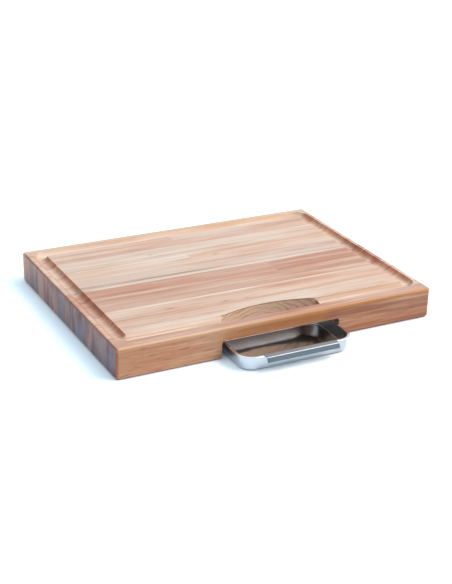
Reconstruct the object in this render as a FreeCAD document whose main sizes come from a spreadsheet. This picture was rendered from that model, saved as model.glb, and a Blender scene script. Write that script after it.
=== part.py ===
"""Edge-grain cutting board with a juice groove, a scoop hole and a stainless tray on runners.

The frame's origin is the centre of the board's underside: +X runs along the staves to the right,
+Y runs from the tray's side to the back, +Z is up. Lengths are in millimetres, angles in degrees.
The tray stands where it is drawn out for use, part of the way out of its bay.
"""
import FreeCAD
import Part
import Sketcher
import os

# Driving dimensions, one cell of the sheet each
SIZES = {
    # the board, glued up from equal staves and then trimmed along its front and back
    "board_length": 609.6,
    "board_depth": 457.2,
    "board_height": 57.15,
    "front_trim": 4.6,
    "back_trim": 7.2,
    "corner_radius": 6.35,
    "edge_radius": 4.76,
    "underside_bevel": 4.0,
    # the juice groove, a cove that runs round the top
    "groove_width": 25.4,
    "groove_depth": 8.0,
    "groove_side_offset": 10.5,
    "groove_back_offset": 14.0,
    "groove_front_offset": 22.0,
    "groove_inner_radius": 1.5,
    # the scoop hole, through which scraps drop into the tray
    "scoop_width": 190.8,
    "scoop_front_offset": 20.6,
    "scoop_reach": 62.6,
    "scoop_arc_radius": 260.0,
    "scoop_corner_radius": 8.0,
    # the tray's pan, pressed from sheet
    "rim_width": 216.4,
    "rim_length": 132.0,
    "rim_lip": 3.8,
    "rim_corner_radius": 30.0,
    "rim_bend": 0.8,
    "sheet_thickness": 1.2,
    "pan_height": 25.4,
    "pan_draft": 2.0,
    "pan_bottom_radius": 4.0,
    "pan_lift": 1.2,
    # the pull on the pan's front lip
    "pull_length": 138.0,
    "pull_lap": 3.4,
    "pull_reach": 7.9,
    "pull_drop": 8.7,
    "pull_lean": 22.0,
    "pull_bend_radius": 1.2,
    # where the tray stands in its bay
    "tray_pull_out": 67.0,
    "closed_inset": 1.1,
    "stop_clearance": 0.8,
    "running_clearance": 0.3,
    # the bay and the runners at its sides
    "bay_corner_radius": 12.7,
    "bay_mouth_radius": 5.0,
    "runner_web": 5.8,
    "runner_lap": 2.7,
    "runner_ledge": 5.0,
    "runner_cap": 6.5,
    "runner_setback": 14.0,
    "runner_end_gap": 2.0,
    # the screws that hold the runners up
    "screw_diameter": 3.0,
    "screw_bite": 10.0,
    "screw_clearance": 0.2,
    "pilot_clearance": 0.05,
    "screw_head_diameter": 5.2,
    "screw_head_height": 1.8,
    # how far a cutting shape runs past what it cuts
    "overrun": 5.0,
}

STAVE_COUNT = 10
# Places of the screws, as shares of a runner's length
SCREW_SHARES = (0.15, 0.85)
# Two places closer than this are the same place
SAME = 0.001
QUARTER_TURN = 1.5707963267948966

# How a sketch counts its origin, its upright axis and the points of a line, arc or circle
ORIGIN_INDEX = (-1, 1)
Y_AXIS_INDEX = -2
START_INDEX = 1
END_INDEX = 2
CENTRE_INDEX = 3

# Sizes that follow from the driving ones, as expressions of the sheet
HALF_LENGTH = "(sizes.board_length / 2)"
HALF_DEPTH = "(sizes.board_depth / 2)"
STAVE_WIDTH = f"((sizes.board_depth + sizes.front_trim + sizes.back_trim) / {STAVE_COUNT})"
GROOVE_HALF = "(sizes.groove_width / 2)"
GROOVE_SIDE = f"({HALF_LENGTH} - sizes.groove_side_offset - {GROOVE_HALF})"
GROOVE_BACK = f"({HALF_DEPTH} - sizes.groove_back_offset - {GROOVE_HALF})"
GROOVE_FRONT = f"({HALF_DEPTH} - sizes.groove_front_offset - {GROOVE_HALF})"
GROOVE_TURN = f"({GROOVE_HALF} + sizes.groove_inner_radius)"
GROOVE_ARC = f"(({GROOVE_HALF} ^ 2 + sizes.groove_depth ^ 2) / (2 * sizes.groove_depth))"
HALF_RIM = "(sizes.rim_width / 2)"
HALF_RIM_LENGTH = "(sizes.rim_length / 2)"
RIM_TOP = "(sizes.pan_lift + sizes.pan_height)"
LIP_UNDERSIDE = f"({RIM_TOP} - sizes.sheet_thickness)"
SLOT_TOP = f"({RIM_TOP} + sizes.running_clearance)"
SLOT_FLOOR = f"({LIP_UNDERSIDE} - sizes.running_clearance)"
SLOT_DEPTH_LINE = f"({HALF_RIM} + sizes.running_clearance)"
RUNNER_INNER = f"({HALF_RIM} - sizes.runner_lap)"
RUNNER_BOTTOM = f"({SLOT_FLOOR} - sizes.runner_ledge)"
BAY_HALF = f"({SLOT_DEPTH_LINE} + sizes.runner_web)"
BAY_HEIGHT = f"({SLOT_TOP} + sizes.runner_cap)"
BAY_DEPTH = "(sizes.closed_inset + sizes.rim_length + sizes.stop_clearance)"
RUNNER_LENGTH = (f"({BAY_DEPTH} - sizes.runner_setback - sizes.bay_corner_radius"
                 " - sizes.runner_end_gap)")
RUNNER_FRONT = f"(sizes.runner_setback - {HALF_DEPTH})"
SCREW_X = f"({BAY_HALF} - sizes.runner_web / 2)"
SCREW_TIP = f"({BAY_HEIGHT} + sizes.screw_bite)"
TRAY_FRONT = f"(sizes.closed_inset - sizes.tray_pull_out - {HALF_DEPTH})"
TRAY_CENTRE = f"({TRAY_FRONT} + {HALF_RIM_LENGTH})"
DRAFT_RUN = "(sizes.pan_height * tan(sizes.pan_draft))"

document = FreeCAD.newDocument("cutting_board")
sheet = document.addObject("Spreadsheet::Sheet", "sizes")
for row, (alias, size) in enumerate(SIZES.items(), start=1):
    sheet.set(f"A{row}", alias)
    sheet.set(f"B{row}", str(size))
    sheet.setAlias(f"B{row}", alias)
document.recompute()


def measure(expression):
    """The number that an expression of the sheet gives now."""
    return float(sheet.evalExpression(expression))


def bind(item, **expressions):
    """Tie properties of an object to expressions of the sheet."""
    for name, expression in expressions.items():
        item.setExpression(name, expression)


def place(item, x="0", y="0", z="0"):
    """Tie an object's position to three expressions."""
    for axis, expression in (("x", x), ("y", y), ("z", z)):
        item.setExpression(f"Placement.Base.{axis}", expression)


def new_body(label):
    """An empty body with a name of its own."""
    body = document.addObject("PartDesign::Body", label)
    body.Label = label
    return body


def origin_plane(body, role):
    """One of a body's own origin planes."""
    return next(item for item in body.Origin.OriginFeatures if item.Role == role)


def new_sketch(body, name, role, lift=None):
    """A sketch on one of the body's own origin planes, raised by an expression if one is given."""
    sketch = body.newObject("Sketcher::SketchObject", name)
    sketch.AttachmentSupport = [(origin_plane(body, role), "")]
    sketch.MapMode = "FlatFace"
    if lift:
        sketch.setExpression("AttachmentOffset.Base.z", lift)
    return sketch


def limit(sketch, kind, expression, *geometry):
    """Add a dimension to a sketch and tie it to an expression."""
    index = sketch.addConstraint(Sketcher.Constraint(kind, *geometry, measure(expression)))
    sketch.setExpression(f"Constraints[{index}]", expression)


def reach(sketch, direction, point, expression):
    """Hold a sketch point at a distance from the origin, on the side where it was drawn."""
    geometry, position = point
    drawn = sketch.getPoint(geometry, position)
    coordinate = drawn.x if direction == "DistanceX" else drawn.y
    ends = (*ORIGIN_INDEX, *point) if coordinate >= 0 else (*point, *ORIGIN_INDEX)
    limit(sketch, direction, expression, *ends)


def require(sketch, kind, *geometry):
    """Add a constraint that has no size to a sketch."""
    sketch.addConstraint(Sketcher.Constraint(kind, *geometry))


def chain(sketch, curves):
    """Draw curves end to end into a closed loop and give their indices."""
    indices = [sketch.addGeometry(curve) for curve in curves]
    for index, following in zip(indices, indices[1:] + indices[:1]):
        require(sketch, "Coincident", index, END_INDEX, following, START_INDEX)
    return indices


def draw_outline(sketch, points):
    """A closed outline of level and upright lines through points (x, y), each an expression.

    Each line is held by one distance from the origin: a level line by its height, an upright one by
    how far to the side it is.
    """
    corners = [FreeCAD.Vector(measure(x), measure(y), 0) for x, y in points]
    spans = list(zip(corners, corners[1:] + corners[:1]))
    lines = chain(sketch, [Part.LineSegment(start, end) for start, end in spans])
    for line, (x, y), (start, end) in zip(lines, points, spans):
        level = abs(end.x - start.x) > abs(end.y - start.y)
        require(sketch, "Horizontal" if level else "Vertical", line)
        size = f"abs({y})" if level else f"abs({x})"
        reach(sketch, "DistanceY" if level else "DistanceX", (line, START_INDEX), size)


def draw_circles(sketch, centres, radius):
    """Circles of one radius about centres (x, y), each an expression."""
    up = FreeCAD.Vector(0, 0, 1)
    for x, y in centres:
        middle = FreeCAD.Vector(measure(x), measure(y), 0)
        circle = sketch.addGeometry(Part.Circle(middle, up, measure(radius)))
        reach(sketch, "DistanceX", (circle, CENTRE_INDEX), f"abs({x})")
        reach(sketch, "DistanceY", (circle, CENTRE_INDEX), f"abs({y})")
        limit(sketch, "Radius", radius, circle)


def draw_rounded_rectangle(sketch, half_width, front, back, radius):
    """A rectangle with round corners about the Y axis; front and back are distances from the origin."""
    side = measure(half_width)
    near = -measure(front)
    far = measure(back)
    turn = measure(radius)
    vector = FreeCAD.Vector
    sides = [
        (vector(turn - side, near), vector(side - turn, near)),
        (vector(side, near + turn), vector(side, far - turn)),
        (vector(side - turn, far), vector(turn - side, far)),
        (vector(-side, far - turn), vector(-side, near + turn)),
    ]
    centres = [
        vector(side - turn, near + turn),
        vector(side - turn, far - turn),
        vector(turn - side, far - turn),
        vector(turn - side, near + turn),
    ]
    lines = [sketch.addGeometry(Part.LineSegment(start, end)) for start, end in sides]
    arcs = []
    up = vector(0, 0, 1)
    for index, centre in enumerate(centres):
        start_angle = (index - 1) * QUARTER_TURN
        circle = Part.Circle(centre, up, turn)
        arc = Part.ArcOfCircle(circle, start_angle, start_angle + QUARTER_TURN)
        arcs.append(sketch.addGeometry(arc))
    for index, arc in enumerate(arcs):
        following = lines[(index + 1) % len(lines)]
        require(sketch, "Tangent", lines[index], END_INDEX, arc, START_INDEX)
        require(sketch, "Tangent", arc, END_INDEX, following, START_INDEX)
    for arc in arcs[1:]:
        require(sketch, "Equal", arcs[0], arc)
    limit(sketch, "Radius", radius, arcs[0])
    near_line, right_line, far_line, left_line = lines
    for line, distance in ((near_line, front), (far_line, back)):
        require(sketch, "Horizontal", line)
        reach(sketch, "DistanceY", (line, START_INDEX), distance)
    for line in (right_line, left_line):
        require(sketch, "Vertical", line)
        reach(sketch, "DistanceX", (line, START_INDEX), half_width)


def named_edges(feature, wanted):
    """Names of the feature's edges for which wanted(edge) is true."""
    edges = enumerate(feature.Shape.Edges, start=1)
    return [f"Edge{index}" for index, edge in edges if wanted(edge)]


def round_edges(body, name, radius, wanted):
    """Round the edges of the body so far for which wanted(edge) is true."""
    document.recompute()
    base = body.Tip
    fillet = body.newObject("PartDesign::Fillet", name)
    fillet.Base = (base, named_edges(base, wanted))
    bind(fillet, Radius=radius)


def bevel_edges(body, name, size, wanted):
    """Bevel the edges of the body so far for which wanted(edge) is true."""
    document.recompute()
    base = body.Tip
    chamfer = body.newObject("PartDesign::Chamfer", name)
    chamfer.Base = (base, named_edges(base, wanted))
    bind(chamfer, Size=size)


def named_faces(feature, wanted):
    """Names of the feature's faces whose bounding box is wanted."""
    faces = enumerate(feature.Shape.Faces, start=1)
    return [f"Face{index}" for index, face in faces if wanted(face.BoundBox)]


def pad(body, name, sketch, length, **options):
    """Thicken a sketch into the body."""
    feature = body.newObject("PartDesign::Pad", name)
    feature.Profile = sketch
    for option, value in options.items():
        setattr(feature, option, value)
    bind(feature, Length=length)
    return feature


def pocket(body, name, sketch, length):
    """Cut along the way a sketch faces and make sure that something was removed."""
    document.recompute()
    before = body.Shape.Volume
    feature = body.newObject("PartDesign::Pocket", name)
    feature.Profile = sketch
    feature.Reversed = True
    bind(feature, Length=length)
    document.recompute()
    if body.Shape.Volume >= before:
        raise RuntimeError(f"{name} cut nothing")


def is_upright(edge):
    """Whether an edge runs along Z."""
    start, end = edge.Vertexes[0].Point, edge.Vertexes[-1].Point
    return abs(start.x - end.x) < SAME and abs(start.y - end.y) < SAME and abs(start.z - end.z) > SAME


def lies_at(edge, height):
    """Whether a whole edge lies at one height."""
    return abs(edge.BoundBox.ZMin - height) < SAME and abs(edge.BoundBox.ZMax - height) < SAME


def machine_board():
    """The glued-up board with its edges, scoop hole, tray bay, groove and pilot holes cut."""
    body = new_body("board_blank")
    outline = new_sketch(body, "board_outline", "XY_Plane")
    draw_outline(outline, [
        (f"-{HALF_LENGTH}", f"-{HALF_DEPTH}"),
        (HALF_LENGTH, f"-{HALF_DEPTH}"),
        (HALF_LENGTH, HALF_DEPTH),
        (f"-{HALF_LENGTH}", HALF_DEPTH),
    ])
    pad(body, "board_pad", outline, "sizes.board_height")
    round_edges(body, "board_corners", "sizes.corner_radius", is_upright)
    top = measure("sizes.board_height")
    round_edges(body, "board_top_edges", "sizes.edge_radius", lambda edge: lies_at(edge, top))
    bevel_edges(body, "board_underside_edges", "sizes.underside_bevel", lambda edge: lies_at(edge, 0))
    cut_scoop(body)
    cut_bay(body)
    cut_groove(body)
    cut_pilot_holes(body)
    return body


def cut_scoop(body):
    """The half-moon hole: a straight front edge, two short sides and a wide arc at the back."""
    sketch = new_sketch(body, "scoop_outline", "XY_Plane")
    half = "(sizes.scoop_width / 2)"
    front = f"({HALF_DEPTH} - sizes.scoop_front_offset)"
    centre = f"(sizes.scoop_arc_radius + {HALF_DEPTH} - sizes.scoop_reach)"
    side = measure(half)
    near = -measure(front)
    radius = measure("sizes.scoop_arc_radius")
    low = -measure(centre)
    shoulder = low + (radius ** 2 - side ** 2) ** 0.5
    front_left = FreeCAD.Vector(-side, near)
    front_right = FreeCAD.Vector(side, near)
    rear_right = FreeCAD.Vector(side, shoulder)
    rear_left = FreeCAD.Vector(-side, shoulder)
    front_line, right_line, arc, left_line = chain(sketch, [
        Part.LineSegment(front_left, front_right),
        Part.LineSegment(front_right, rear_right),
        Part.Arc(rear_right, FreeCAD.Vector(0, low + radius), rear_left),
        Part.LineSegment(rear_left, front_left),
    ])
    require(sketch, "Horizontal", front_line)
    require(sketch, "Vertical", right_line)
    require(sketch, "Vertical", left_line)
    require(sketch, "PointOnObject", arc, CENTRE_INDEX, Y_AXIS_INDEX)
    reach(sketch, "DistanceX", (right_line, START_INDEX), half)
    reach(sketch, "DistanceX", (left_line, START_INDEX), half)
    reach(sketch, "DistanceY", (front_line, START_INDEX), front)
    reach(sketch, "DistanceY", (arc, CENTRE_INDEX), centre)
    limit(sketch, "Radius", "sizes.scoop_arc_radius", arc)
    pocket(body, "scoop_hole", sketch, "sizes.board_height + sizes.overrun")
    round_edges(body, "scoop_corners", "sizes.scoop_corner_radius",
                lambda edge: is_upright(edge) and abs(abs(edge.BoundBox.XMin) - side) < SAME)


def cut_bay(body):
    """The tray's bay, open below: a mouth with round upper corners, then square seats for the runners."""
    mouth = new_sketch(body, "mouth_outline", "XZ_Plane", f"-{RUNNER_FRONT}")
    draw_rounded_rectangle(mouth, BAY_HALF, "(sizes.overrun + sizes.bay_mouth_radius)", BAY_HEIGHT,
                           "sizes.bay_mouth_radius")
    pocket(body, "bay_mouth", mouth, "sizes.runner_setback + sizes.overrun")
    sketch = new_sketch(body, "bay_outline", "XY_Plane")
    rear = f"({HALF_DEPTH} - {BAY_DEPTH})"
    draw_outline(sketch, [
        (f"-{BAY_HALF}", RUNNER_FRONT),
        (BAY_HALF, RUNNER_FRONT),
        (BAY_HALF, f"-{rear}"),
        (f"-{BAY_HALF}", f"-{rear}"),
    ])
    pocket(body, "tray_bay", sketch, BAY_HEIGHT)
    side = measure(BAY_HALF)
    rear_y = -measure(rear)
    round_edges(body, "bay_corners", "sizes.bay_corner_radius",
                lambda edge: is_upright(edge) and abs(edge.BoundBox.YMin - rear_y) < SAME
                and abs(abs(edge.BoundBox.XMin) - side) < SAME)


def cut_groove(body):
    """The juice groove: a cove swept along a rectangle with round corners in the top."""
    path = new_sketch(body, "groove_path", "XY_Plane", "sizes.board_height")
    draw_rounded_rectangle(path, GROOVE_SIDE, GROOVE_FRONT, GROOVE_BACK, GROOVE_TURN)
    profile = new_sketch(body, "groove_profile", "YZ_Plane")
    draw_cove(profile)
    document.recompute()
    before = body.Shape.Volume
    sweep = body.newObject("PartDesign::SubtractivePipe", "juice_groove")
    sweep.Profile = profile
    sweep.Spine = path
    sweep.Mode = "Standard"
    document.recompute()
    if body.Shape.Volume >= before:
        raise RuntimeError("the groove cut nothing")


def draw_cove(sketch):
    """The groove's section across its front run: an arc below the top, closed above it."""
    middle = -measure(GROOVE_FRONT)
    half = measure(GROOVE_HALF)
    top = measure("sizes.board_height")
    bottom = FreeCAD.Vector(middle, top - measure("sizes.groove_depth"))
    above = top + measure("sizes.overrun")
    outer = FreeCAD.Vector(middle - half, top)
    inner = FreeCAD.Vector(middle + half, top)
    outer_above = FreeCAD.Vector(outer.x, above)
    inner_above = FreeCAD.Vector(inner.x, above)
    arc, inner_line, lid, outer_line = chain(sketch, [
        Part.Arc(outer, bottom, inner),
        Part.LineSegment(inner, inner_above),
        Part.LineSegment(inner_above, outer_above),
        Part.LineSegment(outer_above, outer),
    ])
    require(sketch, "Vertical", inner_line)
    require(sketch, "Horizontal", lid)
    require(sketch, "Vertical", outer_line)
    require(sketch, "Horizontal", arc, START_INDEX, arc, END_INDEX)
    reach(sketch, "DistanceX", (inner_line, START_INDEX), f"({GROOVE_FRONT} - {GROOVE_HALF})")
    reach(sketch, "DistanceX", (outer_line, START_INDEX), f"({GROOVE_FRONT} + {GROOVE_HALF})")
    reach(sketch, "DistanceY", (arc, START_INDEX), "sizes.board_height")
    reach(sketch, "DistanceY", (lid, START_INDEX), "(sizes.board_height + sizes.overrun)")
    limit(sketch, "Radius", GROOVE_ARC, arc)


def screw_places(side):
    """Where the screws of one runner stand, as expressions (x, y)."""
    x = f"(-{SCREW_X})" if side == "left" else SCREW_X
    return [(x, f"({RUNNER_FRONT} + {RUNNER_LENGTH} * {share})") for share in SCREW_SHARES]


def cut_pilot_holes(body):
    """Holes in the bay's ceiling that the screws bite into."""
    sketch = new_sketch(body, "pilot_holes", "XY_Plane")
    radius = "(sizes.screw_diameter / 2 + sizes.pilot_clearance)"
    draw_circles(sketch, screw_places("left") + screw_places("right"), radius)
    pocket(body, "pilot_pocket", sketch, SCREW_TIP)


def saw_stave(board, number):
    """One stave of the board, counted from the back; the trimmed board cuts the two outer ones narrower."""
    slice_box = document.addObject("Part::Box", f"slice_{number:02d}")
    bind(slice_box, Length="sizes.board_length + 2 * sizes.overrun", Width=STAVE_WIDTH,
         Height="sizes.board_height + 2 * sizes.overrun")
    place(slice_box, x=f"-{HALF_LENGTH} - sizes.overrun",
          y=f"{HALF_DEPTH} + sizes.back_trim - {number} * {STAVE_WIDTH}", z="-sizes.overrun")
    stave = document.addObject("Part::Common", f"stave_{number:02d}")
    stave.Base = board
    stave.Tool = slice_box
    stave.Label = f"stave_{number:02d}"
    return stave


def press_pan():
    """The tray's pan: drafted walls, a round bottom edge and a flat lip all round."""
    body = new_body("tray_pan")
    floor = new_sketch(body, "pan_floor", "XY_Plane")
    floor_inset = f"(sizes.rim_lip + {DRAFT_RUN})"
    half_length = f"({HALF_RIM_LENGTH} - {floor_inset})"
    draw_rounded_rectangle(floor, f"({HALF_RIM} - {floor_inset})", half_length, half_length,
                           f"(sizes.rim_corner_radius - {floor_inset})")
    walls = pad(body, "pan_block", floor, "sizes.pan_height")
    document.recompute()
    draft = body.newObject("PartDesign::Draft", "pan_walls")
    draft.Base = (walls, named_faces(walls, lambda box: box.ZLength > SAME))
    draft.NeutralPlane = (origin_plane(body, "XY_Plane"), [""])
    draft.Reversed = True
    bind(draft, Angle="sizes.pan_draft")
    round_edges(body, "pan_bottom_edge", "sizes.pan_bottom_radius", lambda edge: lies_at(edge, 0))
    document.recompute()
    solid = body.Tip
    rim_height = measure("sizes.pan_height")
    shell = body.newObject("PartDesign::Thickness", "pan_shell")
    shell.Base = (solid, named_faces(solid, lambda box: box.ZMin > rim_height - SAME))
    shell.Reversed = True
    bind(shell, Value="sizes.sheet_thickness")
    lip = new_sketch(body, "pan_lip", "XY_Plane", "sizes.pan_height - sizes.sheet_thickness")
    draw_rounded_rectangle(lip, HALF_RIM, HALF_RIM_LENGTH, HALF_RIM_LENGTH, "sizes.rim_corner_radius")
    inset = "(sizes.rim_lip + sizes.sheet_thickness / 2)"
    inner_length = f"({HALF_RIM_LENGTH} - {inset})"
    draw_rounded_rectangle(lip, f"({HALF_RIM} - {inset})", inner_length, inner_length,
                           f"(sizes.rim_corner_radius - {inset})")
    pad(body, "pan_lip_pad", lip, "sizes.sheet_thickness")
    widest = measure(f"{HALF_RIM} - sizes.rim_lip")
    deepest = measure(f"{HALF_RIM_LENGTH} - sizes.rim_lip")

    def bounds_mouth(edge):
        box = edge.BoundBox
        within = max(-box.XMin, box.XMax) < widest and max(-box.YMin, box.YMax) < deepest
        return within and lies_at(edge, rim_height)

    bevel_edges(body, "pan_lip_bend", "sizes.rim_bend", bounds_mouth)
    place(body, y=TRAY_CENTRE, z="sizes.pan_lift")
    return body


def fold_pull():
    """The pull: a strip that lies on the pan's front lip, runs forward and turns down, leaning out."""
    body = new_body("tray_pull")
    section = new_sketch(body, "pull_section", "YZ_Plane")
    sheet_steel = "sizes.sheet_thickness"
    lean = "sizes.pull_lean"
    rear = f"({HALF_RIM_LENGTH} - sizes.pull_lap)"
    knee = f"({HALF_RIM_LENGTH} + sizes.pull_reach)"
    inner_knee = f"({knee} - {sheet_steel} * (1 - sin({lean})) / cos({lean}))"
    foot = f"({knee} + sizes.pull_drop * tan({lean}))"
    inner_foot = f"({foot} - {sheet_steel} * cos({lean}))"
    under = "sizes.pan_height"
    over = f"({under} + {sheet_steel})"
    bottom = f"({over} - sizes.pull_drop)"
    inner_bottom = f"({bottom} - {sheet_steel} * sin({lean}))"
    points = [(rear, under), (rear, over), (knee, over), (foot, bottom), (inner_foot, inner_bottom),
              (inner_knee, under)]
    corners = [FreeCAD.Vector(-measure(y), measure(z)) for y, z in points]
    ends = corners[1:] + corners[:1]
    lines = chain(section, [Part.LineSegment(start, end) for start, end in zip(corners, ends)])
    for line, (y, z) in zip(lines, points):
        reach(section, "DistanceX", (line, START_INDEX), y)
        reach(section, "DistanceY", (line, START_INDEX), z)
    pad(body, "pull_strip", section, "sizes.pull_length", SideType="Symmetric")

    def runs_along(edge, y, z):
        box = edge.BoundBox
        return abs(box.YMin - y) < SAME and abs(box.YMax - y) < SAME and lies_at(edge, z)

    round_edges(body, "pull_outer_bend", f"sizes.pull_bend_radius + {sheet_steel}",
                lambda edge: runs_along(edge, -measure(knee), measure(over)))
    round_edges(body, "pull_inner_bend", "sizes.pull_bend_radius",
                lambda edge: runs_along(edge, -measure(inner_knee), measure(under)))
    place(body, y=TRAY_CENTRE, z="sizes.pan_lift")
    return body


def mill_runner():
    """The right runner: a strip with a slot for the pan's lip, seated up in the bay's side."""
    body = new_body("runner_right")
    section = new_sketch(body, "runner_section", "XZ_Plane")
    draw_outline(section, [
        (BAY_HALF, RUNNER_BOTTOM),
        (BAY_HALF, BAY_HEIGHT),
        (RUNNER_INNER, BAY_HEIGHT),
        (RUNNER_INNER, SLOT_TOP),
        (SLOT_DEPTH_LINE, SLOT_TOP),
        (SLOT_DEPTH_LINE, SLOT_FLOOR),
        (RUNNER_INNER, SLOT_FLOOR),
        (RUNNER_INNER, RUNNER_BOTTOM),
    ])
    pad(body, "runner_strip", section, RUNNER_LENGTH, Reversed=True)
    holes = new_sketch(body, "runner_holes", "XY_Plane", RUNNER_BOTTOM)
    radius = "(sizes.screw_diameter / 2 + sizes.screw_clearance)"
    draw_circles(holes, [(SCREW_X, f"({RUNNER_LENGTH} * {share})") for share in SCREW_SHARES], radius)
    pocket(body, "runner_bores", holes, f"{BAY_HEIGHT} - {RUNNER_BOTTOM} + sizes.overrun")
    place(body, y=RUNNER_FRONT)
    return body


def mirror_runner(runner):
    """The left runner, the right one's mirror image."""
    mirrored = document.addObject("Part::Mirroring", "runner_left")
    mirrored.Source = runner
    mirrored.Normal = FreeCAD.Vector(1, 0, 0)
    mirrored.Label = "runner_left"
    return mirrored


def turn_screw(name, x, y):
    """A screw with a flat round head, driven up through a runner."""
    shank = document.addObject("Part::Cylinder", f"{name}_shank")
    bind(shank, Radius="sizes.screw_diameter / 2", Height=f"{SCREW_TIP} - {RUNNER_BOTTOM}")
    place(shank, x, y, RUNNER_BOTTOM)
    head = document.addObject("Part::Cylinder", f"{name}_head")
    bind(head, Radius="sizes.screw_head_diameter / 2", Height="sizes.screw_head_height")
    place(head, x, y, f"{RUNNER_BOTTOM} - sizes.screw_head_height")
    screw = document.addObject("Part::Fuse", name)
    screw.Base = shank
    screw.Tool = head
    return screw


def gather_screws(side):
    """All the screws of one runner, as separate solids in one node."""
    label = f"runner_screws_{side}"
    group = document.addObject("Part::Compound", label)
    places = enumerate(screw_places(side), start=1)
    group.Links = [turn_screw(f"{side}_screw_{index}", x, y) for index, (x, y) in places]
    group.Label = label
    return group


def main():
    """Build every piece, test it and write it to parts."""
    board = machine_board()
    pieces = [saw_stave(board, number) for number in range(1, STAVE_COUNT + 1)]
    right_runner = mill_runner()
    pieces += [right_runner, mirror_runner(right_runner)]
    pieces += [gather_screws("left"), gather_screws("right")]
    pieces += [press_pan(), fold_pull()]
    document.recompute()
    for item in document.Objects:
        if "Invalid" in item.State or "Error" in item.State:
            raise RuntimeError(f"{item.Label} failed: {item.State}")
    for piece in pieces:
        if piece.Shape.isNull() or not piece.Shape.isValid():
            raise RuntimeError(f"{piece.Label} has no valid shape")
    os.makedirs("parts", exist_ok=True)
    for piece in pieces:
        piece.Shape.exportStep(f"parts/{piece.Label}.step")
        centre = piece.Shape.CenterOfGravity
        print(f"{piece.Label}: {len(piece.Shape.Solids)} solids, {piece.Shape.Volume:.0f} mm3,"
              f" centre at {centre.x:.1f}, {centre.y:.1f}, {centre.z:.1f}")


main()
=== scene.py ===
# %% [markdown]
# # A cutting board with a drawer tray
#
# The object is a thick maple board glued up from ten staves. A juice groove runs round its top, a
# half-moon hole lets scraps fall through, and a stainless tray catches them from below. The solids
# come from the CAD frame. This lesson gives them their wood and steel, and makes anew the parts of
# thin bent sheet, which a solid model shows too plainly.

# %% Load the frame
import math

import bmesh
import bpy
import numpy as np
from mathutils import Matrix, Vector


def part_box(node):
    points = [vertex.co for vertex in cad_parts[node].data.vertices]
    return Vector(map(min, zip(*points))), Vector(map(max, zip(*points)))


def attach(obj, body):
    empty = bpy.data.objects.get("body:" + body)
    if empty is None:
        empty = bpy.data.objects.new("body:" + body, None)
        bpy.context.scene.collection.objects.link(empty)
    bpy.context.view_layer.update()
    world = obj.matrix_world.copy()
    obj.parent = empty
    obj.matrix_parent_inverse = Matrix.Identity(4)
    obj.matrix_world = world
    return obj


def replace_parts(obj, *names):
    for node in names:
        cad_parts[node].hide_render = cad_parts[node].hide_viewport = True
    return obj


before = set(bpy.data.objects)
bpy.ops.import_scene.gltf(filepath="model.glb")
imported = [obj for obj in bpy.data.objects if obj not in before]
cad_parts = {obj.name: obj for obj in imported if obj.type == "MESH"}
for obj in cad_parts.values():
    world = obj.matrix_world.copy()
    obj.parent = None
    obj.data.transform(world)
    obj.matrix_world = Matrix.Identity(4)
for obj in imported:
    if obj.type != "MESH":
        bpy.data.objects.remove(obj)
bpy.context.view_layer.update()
stave_names = sorted(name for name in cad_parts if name.startswith("stave_"))

# %% [markdown]
# ## The camera
#
# The photograph looks down at the front left corner. Its place was found by fitting the board's six
# straight outline edges, so the lens, the distance and a small roll are all known. A camera could
# be aimed with a constraint, but a plain matrix also holds the roll.

# %% Place the camera
IMAGE_HEIGHT = 584
FOCAL_PIXELS = 1286.1
SENSOR_WIDTH = 36.0
CAMERA_PLACE = (-1.0059, -1.9359, 0.9625)
CAMERA_AZIMUTH = math.radians(-27.70)
CAMERA_ELEVATION = math.radians(23.543)
CAMERA_ROLL = math.radians(1.459)


def add_object(name, data):
    """A new object in the scene that shows a mesh, a camera or a lamp."""
    made = bpy.data.objects.new(name, data)
    bpy.context.scene.collection.objects.link(made)
    return made


def camera_matrix():
    """The camera's axes: back from azimuth and elevation, right level with the floor, both rolled."""
    back = Vector((
        math.sin(CAMERA_AZIMUTH) * math.cos(CAMERA_ELEVATION),
        -math.cos(CAMERA_AZIMUTH) * math.cos(CAMERA_ELEVATION),
        math.sin(CAMERA_ELEVATION),
    ))
    level = Vector((math.cos(CAMERA_AZIMUTH), math.sin(CAMERA_AZIMUTH), 0.0))
    upright = back.cross(level)
    right = math.cos(CAMERA_ROLL) * level + math.sin(CAMERA_ROLL) * upright
    up = math.cos(CAMERA_ROLL) * upright - math.sin(CAMERA_ROLL) * level
    turned = Matrix((right, up, back)).transposed().to_4x4()
    return Matrix.Translation(CAMERA_PLACE) @ turned


camera_data = bpy.data.cameras.new("camera")
camera_data.sensor_width = SENSOR_WIDTH
camera_data.lens = FOCAL_PIXELS / IMAGE_HEIGHT * SENSOR_WIDTH
camera = add_object("camera", camera_data)
camera.matrix_world = camera_matrix()
bpy.context.scene.camera = camera
print("lens in millimetres:", round(camera_data.lens, 2))

# %% [markdown]
# ## Helpers for materials
#
# A material is a small network of nodes. Wiring nodes by hand is wordy, so these helpers each add
# one node and give back the socket that the next node reads. Colours are written as a painter reads
# them off a screen, from 0 to 255, and turned into the linear values that the renderer uses.

# %% Node helpers
def tone(red, green, blue):
    """A screen colour, 0 to 255, as linear red, green, blue and a full alpha."""
    share = np.array((red, green, blue)) / 255.0
    linear = np.where(share <= 0.04045, share / 12.92, ((share + 0.055) / 1.055) ** 2.4)
    return (*linear.tolist(), 1.0)


def add_node(tree, kind, inputs, **settings):
    """One node: settings become its properties, inputs its socket values or its links."""
    node = tree.nodes.new(kind)
    for name, value in settings.items():
        setattr(node, name, value)
    for key, value in inputs.items():
        if isinstance(value, bpy.types.NodeSocket):
            tree.links.new(value, node.inputs[key])
        else:
            node.inputs[key].default_value = value
    return node


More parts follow.
